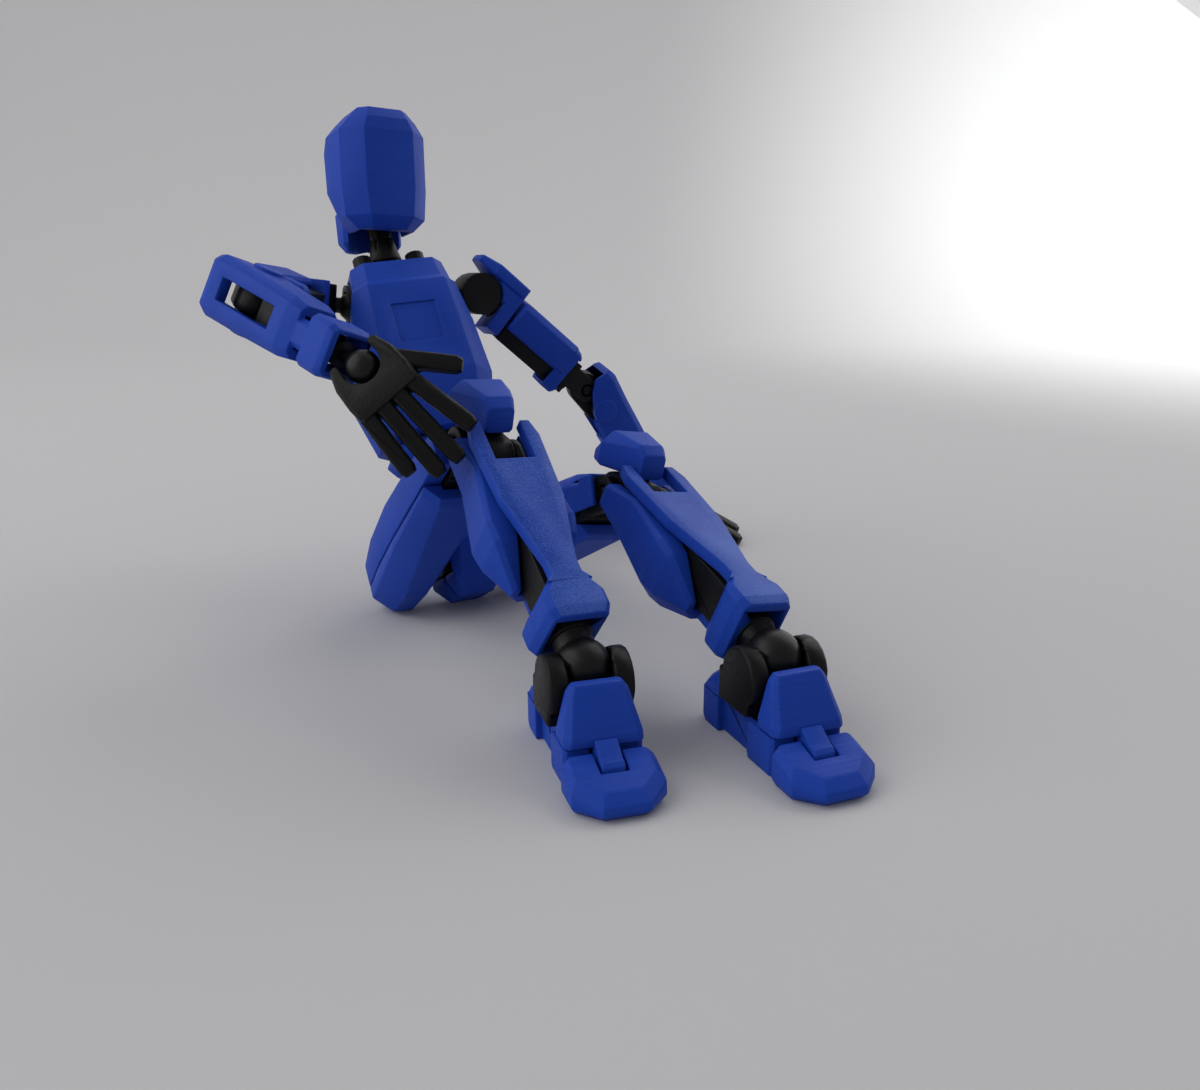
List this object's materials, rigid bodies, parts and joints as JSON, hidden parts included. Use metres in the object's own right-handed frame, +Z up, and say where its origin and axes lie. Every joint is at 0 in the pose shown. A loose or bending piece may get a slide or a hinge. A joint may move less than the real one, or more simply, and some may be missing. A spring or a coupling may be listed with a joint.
{
  "type": "articulated figure",
  "caption": "Seated jointed figure with a black ball-and-hinge frame and blue faceted armour plates, posed by its friction joints.",
  "frame": {"origin": "on the floor, under the middle of the seated figure's box", "axes": "+Z up off the floor, the figure faces -Y, its left side is at +X"},
  "size_m": [0.0896, 0.1156, 0.072],
  "materials": {
    "blue_plastic": "satin printed plastic with fine layer lines",
    "black_plastic": "satin printed plastic with fine layer lines"
  },
  "bodies": {
    "pelvis": {"pelvis_frame": "black_plastic", "pelvis_front_cover": "blue_plastic", "pelvis_rear_cover": "blue_plastic"},
    "abdomen": {"waist_link": "black_plastic", "abdomen_ring": "blue_plastic"},
    "chest": {"chest_frame": "black_plastic", "chest_front_shell": "blue_plastic", "chest_back_shell": "blue_plastic"},
    "neck": {"neck_link": "black_plastic"},
    "head": {"head_socket": "black_plastic", "head_shell": "blue_plastic", "nape_guard": "blue_plastic"},
    "right_shoulder": {"right_shoulder_link": "black_plastic"},
    "right_deltoid": {"right_shoulder_cap": "blue_plastic"},
    "right_upper_arm": {"right_upper_arm_frame": "black_plastic", "right_upper_arm_armour": "blue_plastic"},
    "right_elbow": {"right_elbow_link": "black_plastic"},
    "right_forearm": {"right_forearm_frame": "black_plastic", "right_forearm_armour": "blue_plastic"},
    "right_wrist": {"right_wrist_peg": "black_plastic"},
    "right_palm": {"right_hand": "black_plastic"},
    "left_shoulder": {"left_shoulder_link": "black_plastic"},
    "left_deltoid": {"left_shoulder_cap": "blue_plastic"},
    "left_upper_arm": {"left_upper_arm_frame": "black_plastic", "left_upper_arm_armour": "blue_plastic"},
    "left_elbow": {"left_elbow_link": "black_plastic"},
    "left_forearm": {"left_forearm_frame": "black_plastic", "left_forearm_armour": "blue_plastic"},
    "left_wrist": {"left_wrist_peg": "black_plastic"},
    "left_palm": {"left_hand": "black_plastic"},
    "right_hip": {"right_hip_link": "black_plastic"},
    "right_thigh": {"right_thigh_frame": "black_plastic", "right_thigh_front_shell": "blue_plastic", "right_thigh_rear_shell": "blue_plastic"},
    "right_knee": {"right_knee_link": "black_plastic", "right_kneecap": "blue_plastic"},
    "right_shin": {"right_shin_frame": "black_plastic", "right_shin_armour": "blue_plastic", "right_calf_shell": "blue_plastic"},
    "right_ankle": {"right_ankle_peg": "black_plastic"},
    "right_foot": {"right_ankle_fork": "black_plastic", "right_foot_body": "blue_plastic", "right_instep_cover": "blue_plastic"},
    "right_toe": {"right_toe_cap": "blue_plastic"},
    "left_hip": {"left_hip_link": "black_plastic"},
    "left_thigh": {"left_thigh_frame": "black_plastic", "left_thigh_front_shell": "blue_plastic", "left_thigh_rear_shell": "blue_plastic"},
    "left_knee": {"left_knee_link": "black_plastic", "left_kneecap": "blue_plastic"},
    "left_shin": {"left_shin_frame": "black_plastic", "left_shin_armour": "blue_plastic", "left_calf_shell": "blue_plastic"},
    "left_ankle": {"left_ankle_peg": "black_plastic"},
    "left_foot": {"left_ankle_fork": "black_plastic", "left_foot_body": "blue_plastic", "left_instep_cover": "blue_plastic"},
    "left_toe": {"left_toe_cap": "blue_plastic"}
  },
  "joints": [
    {"name": "waist_bend", "type": "hinge", "parent": "pelvis", "child": "abdomen", "pos_m": [-0.01098, 0.02396, 0.017], "axis": [0.9997, -0.0134, -0.0225], "range_deg": [-20, 0]},
    {"name": "chest_twist", "type": "hinge", "parent": "abdomen", "child": "chest", "pos_m": [-0.01076, 0.02851, 0.02429], "axis": [0.0349, 0.5589, 0.8285], "range_deg": [-30, 0]},
    {"name": "neck_nod", "type": "hinge", "parent": "chest", "child": "neck", "pos_m": [-0.00963, 0.04424, 0.04549], "axis": [0.9834, -0.1509, 0.1009], "range_deg": [-25, 20]},
    {"name": "head_turn", "type": "hinge", "parent": "neck", "child": "head", "pos_m": [-0.01017, 0.04781, 0.0561], "axis": [0.0836, 0.188, 0.9786], "range_deg": [-60, 60]},
    {"name": "right_shoulder_swing", "type": "hinge", "parent": "chest", "child": "right_shoulder", "pos_m": [-0.01687, 0.04222, 0.04246], "axis": [0.9468, -0.2923, -0.1346], "range_deg": [-60, 0]},
    {"name": "right_shoulder_lift", "type": "hinge", "parent": "right_shoulder", "child": "right_deltoid", "pos_m": [-0.02255, 0.04398, 0.04326], "axis": [-0.1512, -0.0346, -0.9879], "range_deg": [0, 40]},
    {"name": "right_arm_twist", "type": "hinge", "parent": "right_deltoid", "child": "right_upper_arm", "pos_m": [-0.02255, 0.04398, 0.04326], "axis": [0.6095, 0.7835, -0.1207], "range_deg": [0, 50]},
    {"name": "right_elbow_upper", "type": "hinge", "parent": "right_upper_arm", "child": "right_elbow", "pos_m": [-0.03742, 0.02486, 0.04621], "axis": [-0.3835, 0.1581, -0.9099], "range_deg": [0, 28]},
    {"name": "right_elbow_lower", "type": "hinge", "parent": "right_elbow", "child": "right_forearm", "pos_m": [-0.03839, 0.02058, 0.04587], "axis": [-0.3835, 0.1581, -0.9099], "range_deg": [0, 22]},
    {"name": "right_wrist_twist", "type": "hinge", "parent": "right_forearm", "child": "right_wrist", "pos_m": [-0.03323, -0.00165, 0.03984], "axis": [-0.2185, 0.9417, 0.2557], "range_deg": [0, 60]},
    {"name": "right_wrist_bend", "type": "hinge", "parent": "right_wrist", "child": "right_palm", "pos_m": [-0.03323, -0.00165, 0.03984], "axis": [0.7378, -0.2435, 0.6296], "range_deg": [-45, 0]},
    {"name": "left_shoulder_swing", "type": "hinge", "parent": "chest", "child": "left_shoulder", "pos_m": [-0.00308, 0.03996, 0.0434], "axis": [0.9845, -0.1619, 0.0678], "range_deg": [-60, 50]},
    {"name": "left_shoulder_lift", "type": "hinge", "parent": "left_shoulder", "child": "left_deltoid", "pos_m": [0.00282, 0.03898, 0.04381], "axis": [0.1662, 0.9841, -0.0625], "range_deg": [-40, 25]},
    {"name": "left_arm_twist", "type": "hinge", "parent": "left_deltoid", "child": "left_upper_arm", "pos_m": [0.00282, 0.03898, 0.04381], "axis": [-0.7298, 0.1654, 0.6634], "range_deg": [-50, 50]},
    {"name": "left_elbow_upper", "type": "hinge", "parent": "left_upper_arm", "child": "left_elbow", "pos_m": [0.02063, 0.03495, 0.02762], "axis": [-0.2896, -0.9537, -0.0809], "range_deg": [-55, 5]},
    {"name": "left_elbow_lower", "type": "hinge", "parent": "left_elbow", "child": "left_forearm", "pos_m": [0.02345, 0.03437, 0.0243], "axis": [0.2896, 0.9537, 0.0809], "range_deg": [-2, 55]},
    {"name": "left_wrist_twist", "type": "hinge", "parent": "left_forearm", "child": "left_wrist", "pos_m": [0.03625, 0.03216, 0.00459], "axis": [-0.5422, 0.0938, 0.835], "range_deg": [-60, 60]},
    {"name": "left_wrist_bend", "type": "hinge", "parent": "left_wrist", "child": "left_palm", "pos_m": [0.03625, 0.03216, 0.00459], "axis": [0.9527, 0.304, 0], "range_deg": [-10, 60]},
    {"name": "right_hip_swing", "type": "hinge", "parent": "pelvis", "child": "right_hip", "pos_m": [-0.01975, 0.01923, 0.00881], "axis": [0.9998, -0.0087, -0.0151], "range_deg": [0, 80]},
    {"name": "right_hip_spread", "type": "hinge", "parent": "right_hip", "child": "right_thigh", "pos_m": [-0.01975, 0.01923, 0.00881], "axis": [-0.0878, -0.672, -0.7354], "range_deg": [-8, 0]},
    {"name": "right_knee_upper", "type": "hinge", "parent": "right_thigh", "child": "right_knee", "pos_m": [-0.01953, -0.00315, 0.02924], "axis": [0.9961, -0.0539, -0.0697], "range_deg": [-4, 40]},
    {"name": "right_knee_lower", "type": "hinge", "parent": "right_knee", "child": "right_shin", "pos_m": [-0.01988, -0.00846, 0.02834], "axis": [-0.9961, 0.0539, 0.0697], "range_deg": [-40, 12]},
    {"name": "right_ankle_swivel", "type": "hinge", "parent": "right_shin", "child": "right_ankle", "pos_m": [-0.02245, -0.03274, 0.0104], "axis": [0.0848, 0.8014, 0.5921], "range_deg": [-20, 20]},
    {"name": "right_ankle_bend", "type": "hinge", "parent": "right_ankle", "child": "right_foot", "pos_m": [-0.02245, -0.03274, 0.0104], "axis": [0.9613, -0.2756, 0], "range_deg": [-35, 10]},
    {"name": "right_toe_bend", "type": "hinge", "parent": "right_foot", "child": "right_toe", "pos_m": [-0.02526, -0.04255, 0.0032], "axis": [0.9613, -0.2756, 0], "range_deg": [-40, 10]},
    {"name": "left_hip_swing", "type": "hinge", "parent": "pelvis", "child": "left_hip", "pos_m": [-0.00255, 0.01908, 0.00856], "axis": [0.9998, -0.0087, -0.0151], "range_deg": [-40, 70]},
    {"name": "left_hip_spread", "type": "hinge", "parent": "left_hip", "child": "left_thigh", "pos_m": [-0.00255, 0.01908, 0.00856], "axis": [-0.149, -0.4257, -0.8925], "range_deg": [-10, 8]},
    {"name": "left_knee_upper", "type": "hinge", "parent": "left_thigh", "child": "left_knee", "pos_m": [-0.00101, -0.00833, 0.02137], "axis": [0.9875, -0.0176, -0.1564], "range_deg": [-20, 55]},
    {"name": "left_knee_lower", "type": "hinge", "parent": "left_knee", "child": "left_shin", "pos_m": [-0.00118, -0.01371, 0.02091], "axis": [-0.9875, 0.0176, 0.1564], "range_deg": [-55, 14]},
    {"name": "left_ankle_swivel", "type": "hinge", "parent": "left_shin", "child": "left_ankle", "pos_m": [-0.00335, -0.04204, 0.0104], "axis": [0.0716, 0.9352, 0.3469], "range_deg": [-20, 20]},
    {"name": "left_ankle_bend", "type": "hinge", "parent": "left_ankle", "child": "left_foot", "pos_m": [-0.00335, -0.04204, 0.0104], "axis": [0.9816, -0.1908, 0], "range_deg": [-40, 1]},
    {"name": "left_toe_bend", "type": "hinge", "parent": "left_foot", "child": "left_toe", "pos_m": [-0.0053, -0.05205, 0.0032], "axis": [0.9816, -0.1908, 0], "range_deg": [-40, 10]}
  ]
}
